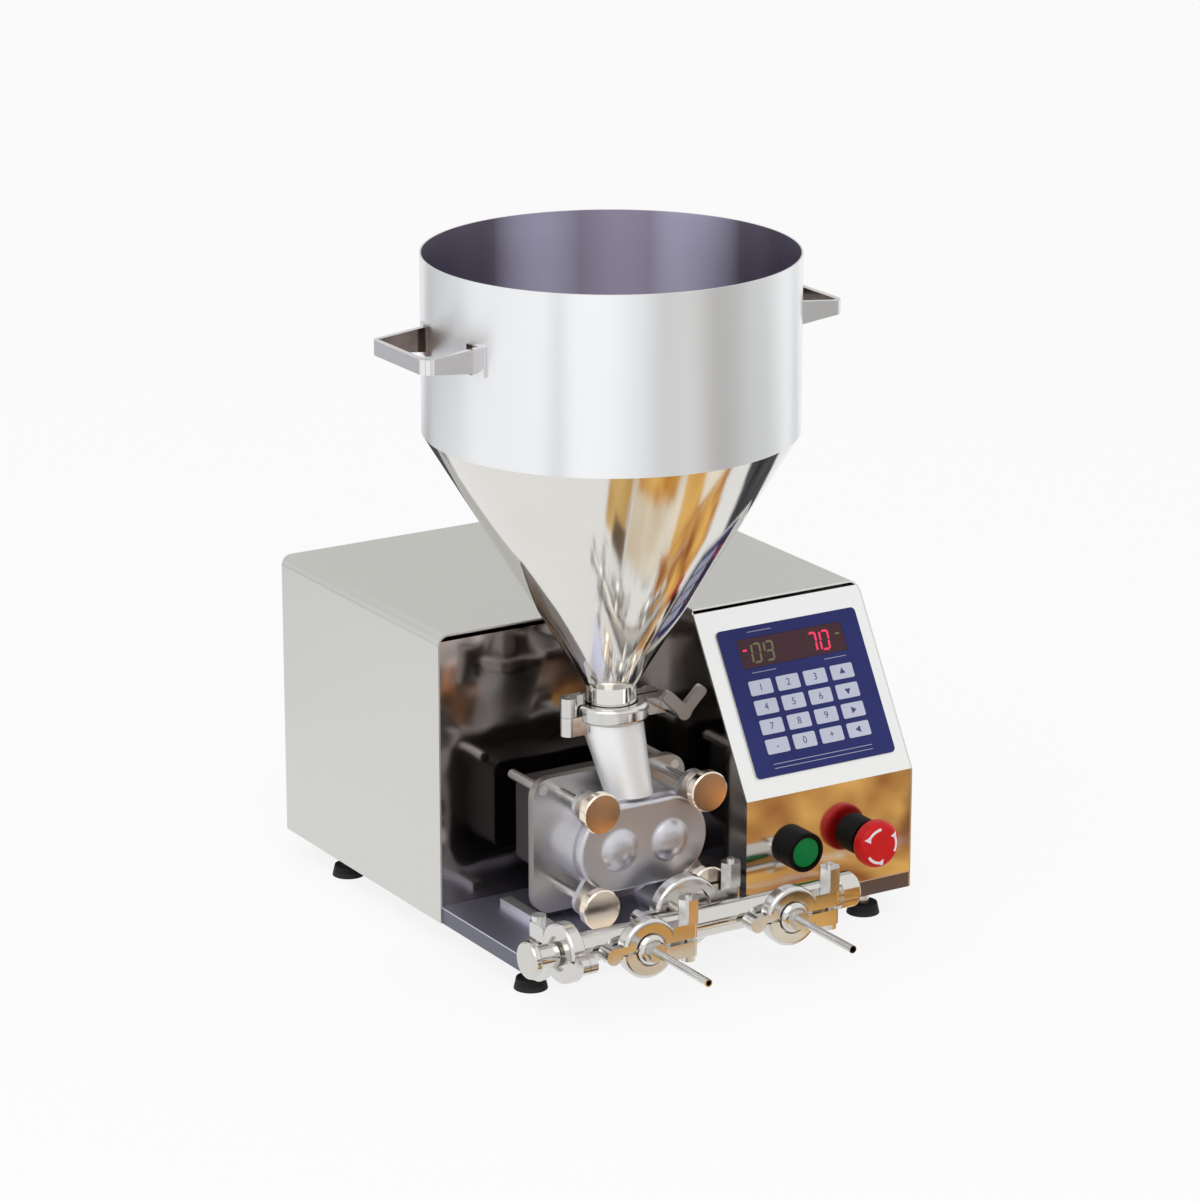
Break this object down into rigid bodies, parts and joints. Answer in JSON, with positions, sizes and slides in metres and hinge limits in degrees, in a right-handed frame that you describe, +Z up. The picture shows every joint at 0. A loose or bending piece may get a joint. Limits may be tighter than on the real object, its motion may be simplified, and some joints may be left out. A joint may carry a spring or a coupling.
{
  "type": "cream filling machine",
  "caption": "Table-top cream filling machine: a conical steel hopper feeds a rotary lobe pump that pushes cream through a manifold to filling needles, with a keypad control pod.",
  "frame": {"origin": "on the table, under the middle of the machine's outline seen from above", "axes": "+Z up, -Y out of the front where the needles point, +X to the right as seen from the front"},
  "size_m": [0.459, 0.5678, 0.589],
  "materials": {
    "cabinet_steel": "satin sheet",
    "face_steel": "fine satin sheet",
    "polished_sheet": "mirror-polished sheet",
    "bay_steel": "mirror-polished sheet, dark",
    "tray_steel": "satin sheet",
    "hopper_satin": "satin, brushed around",
    "hopper_polish": "mirror polish",
    "handle_steel": "polished bar",
    "inlet_steel": "bead-blasted casting",
    "pump_steel": "smooth satin casting",
    "knob_steel": "turned, faces polished",
    "fitting_steel": "polished",
    "fastener_steel": "bright",
    "needle_steel": "drawn tube",
    "rotor_steel": "milled and polished",
    "gear_steel": "machined, oiled",
    "case_alloy": "black anodised",
    "drive_grey": "textured paint",
    "foot_rubber": "matt, moulded round a bright stud",
    "seal_silicone": "smooth",
    "overlay_film": "printed polyester, fine texture",
    "circuit_film": "film",
    "dome_steel": "bright",
    "window_tint": "polished, tinted red",
    "board_green": "solder mask",
    "black_plastic": "fine moulded texture",
    "start_green": "smooth",
    "stop_red": "smooth"
  },
  "bodies": {
    "machine": {"cabinet_wrap": "cabinet_steel", "back_panel": "cabinet_steel", "panel_screws": "fastener_steel", "base_tray": "tray_steel", "rubber_feet": "foot_rubber", "bay_wall": "bay_steel", "control_face": "face_steel", "pod_shell": "polished_sheet", "keypad_overlay": "overlay_film", "keypad_circuit": "circuit_film", "snap_domes": "dome_steel", "display_window": "window_tint", "display_board": "board_green", "start_collar": "black_plastic", "switch_blocks": "black_plastic", "stop_collar": "black_plastic", "pump_plate": "pump_steel", "plate_pegs": "pump_steel", "foot_rails": "pump_steel", "pump_body": "pump_steel", "cover_seal": "seal_silicone", "shaft_seals": "seal_silicone", "front_cover": "pump_steel", "cover_studs": "fastener_steel", "gear_case": "case_alloy", "shaft_bearings": "gear_steel", "gearbox": "drive_grey", "drive_motor": "drive_grey", "hopper_band": "hopper_satin", "hopper_cone": "hopper_polish", "hopper_handles": "handle_steel", "inlet_tube": "inlet_steel", "hopper_clamp_front": "fitting_steel", "hopper_clamp_back": "fitting_steel", "manifold_clamps": "fitting_steel", "clamp_bolts_and_pins": "fastener_steel", "clamp_nuts": "fastener_steel", "clamp_gaskets": "seal_silicone", "manifold": "fitting_steel", "end_plug": "fitting_steel", "nozzle_caps": "fitting_steel", "needles": "needle_steel", "controller_board": "board_green", "power_inlet": "black_plastic"},
    "drive_train": {"drive_shaft": "rotor_steel", "drive_gear": "gear_steel", "drive_rotor": "rotor_steel", "drive_rotor_nut": "rotor_steel"},
    "driven_train": {"driven_shaft": "rotor_steel", "driven_gear": "gear_steel", "driven_rotor": "rotor_steel", "driven_rotor_nut": "rotor_steel"},
    "start": {"start_button": "start_green"},
    "stop_stem": {"stop_stem": "black_plastic"},
    "stop_head": {"stop_head": "stop_red"},
    "wing_nut": {"hopper_wing_nut": "fastener_steel"},
    "knob_upper_left": {"knob_upper_left": "knob_steel"},
    "knob_upper_right": {"knob_upper_right": "knob_steel"},
    "knob_lower_left": {"knob_lower_left": "knob_steel"},
    "knob_lower_right": {"knob_lower_right": "knob_steel"}
  },
  "joints": [
    {"name": "drive_spin", "type": "hinge", "parent": "machine", "child": "drive_train", "pos_m": [-0.0065, -0.0591, 0.105], "axis": [0, 1, 0], "continuous": true},
    {"name": "driven_spin", "type": "hinge", "parent": "machine", "child": "driven_train", "pos_m": [-0.0545, -0.0591, 0.105], "axis": [0, 1, 0], "continuous": true},
    {"name": "start_press", "type": "slide", "parent": "machine", "child": "start", "axis": [0, 1, 0], "range_m": [0, 0.004], "stiffness_N_per_m": 800},
    {"name": "stop_press", "type": "slide", "parent": "machine", "child": "stop_stem", "axis": [0, 1, 0], "range_m": [0, 0.005]},
    {"name": "stop_twist", "type": "hinge", "parent": "stop_stem", "child": "stop_head", "pos_m": [0.1765, -0.1381, 0.076], "axis": [0, 1, 0], "range_deg": [0, 45], "stiffness_Nm_per_rad": 0.2},
    {"name": "wing_nut_turn", "type": "hinge", "parent": "machine", "child": "wing_nut", "pos_m": [0.0095, -0.0831, 0.21], "axis": [0, -1, 0], "range_deg": [0, 360]},
    {"name": "knob_upper_left_turn", "type": "hinge", "parent": "machine", "child": "knob_upper_left", "pos_m": [-0.0815, -0.1084, 0.146], "axis": [0, -1, 0], "range_deg": [0, 360]},
    {"name": "knob_upper_right_turn", "type": "hinge", "parent": "machine", "child": "knob_upper_right", "pos_m": [0.0205, -0.1084, 0.146], "axis": [0, -1, 0], "range_deg": [0, 360]},
    {"name": "knob_lower_left_turn", "type": "hinge", "parent": "machine", "child": "knob_lower_left", "pos_m": [-0.0815, -0.1084, 0.064], "axis": [0, -1, 0], "range_deg": [0, 360]},
    {"name": "knob_lower_right_turn", "type": "hinge", "parent": "machine", "child": "knob_lower_right", "pos_m": [0.0205, -0.1084, 0.064], "axis": [0, -1, 0], "range_deg": [0, 360]}
  ],
  "couplings": [
    {"joint": "driven_spin", "follows": "drive_spin", "ratio": -1}
  ]
}
